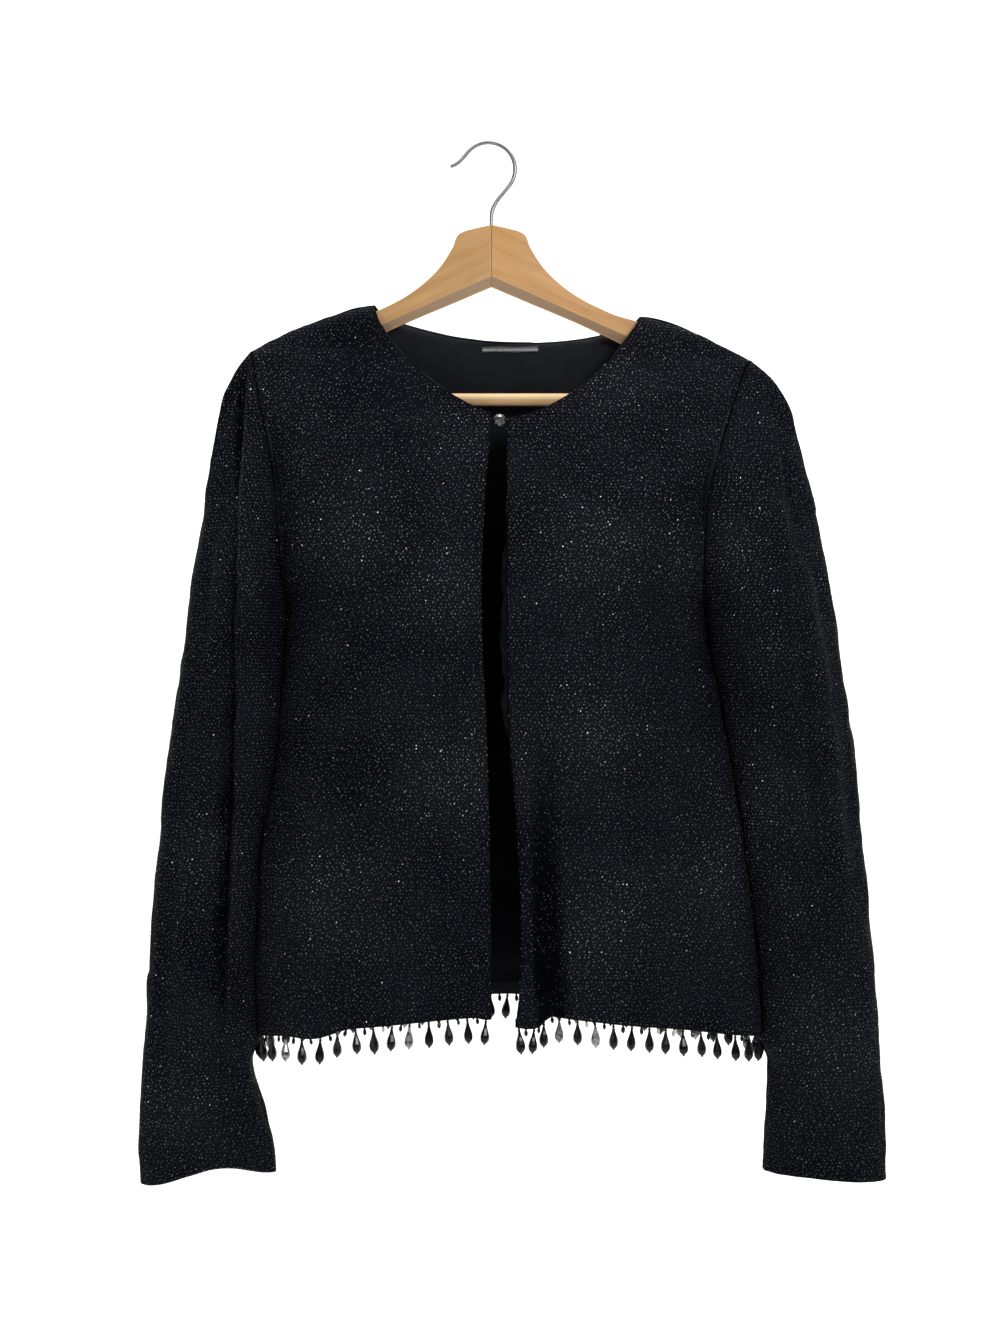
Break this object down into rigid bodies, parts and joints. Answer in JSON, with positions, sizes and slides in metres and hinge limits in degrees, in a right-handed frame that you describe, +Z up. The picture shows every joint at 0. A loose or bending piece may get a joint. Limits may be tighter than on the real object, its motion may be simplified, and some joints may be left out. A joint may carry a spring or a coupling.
{
  "type": "evening jacket on a hanger",
  "caption": "Collarless black evening jacket with long sleeves, one neck button and a beaded hem, hanging open on a wooden hanger with a bar and a wire hook.",
  "frame": {"origin": "inside top of the hanger's hook, where a rail carries it", "axes": "+Z up, -Y out of the jacket's front, +X towards the wearer's left"},
  "size_m": [0.5805, 0.1153, 0.8122],
  "materials": {
    "glitter_cloth": "matt black crinkled cloth with small glitter dots",
    "lining_cloth": "plain dark grey satin lining",
    "label_satin": "plain silver-grey satin tape",
    "loop_cord": "black cord",
    "black_glass": "faceted glossy black",
    "hanger_wood": "clear satin lacquer",
    "bar_wood": "pale turned wood",
    "hook_steel": "plain steel wire"
  },
  "bodies": {
    "root": {"right_front": "glitter_cloth", "left_front": "glitter_cloth", "back": "glitter_cloth", "right_sleeve": "glitter_cloth", "left_sleeve": "glitter_cloth", "back_lining": "lining_cloth", "left_front_facing": "lining_cloth", "neck_label": "label_satin", "neck_button": "black_glass", "button_loop": "loop_cord", "right_front_fringe": "black_glass", "left_front_fringe": "black_glass", "back_fringe": "black_glass", "right_hanger_arm": "hanger_wood", "left_hanger_arm": "hanger_wood", "hanger_bar": "bar_wood", "hanger_hook": "hook_steel"}
  },
  "joints": []
}
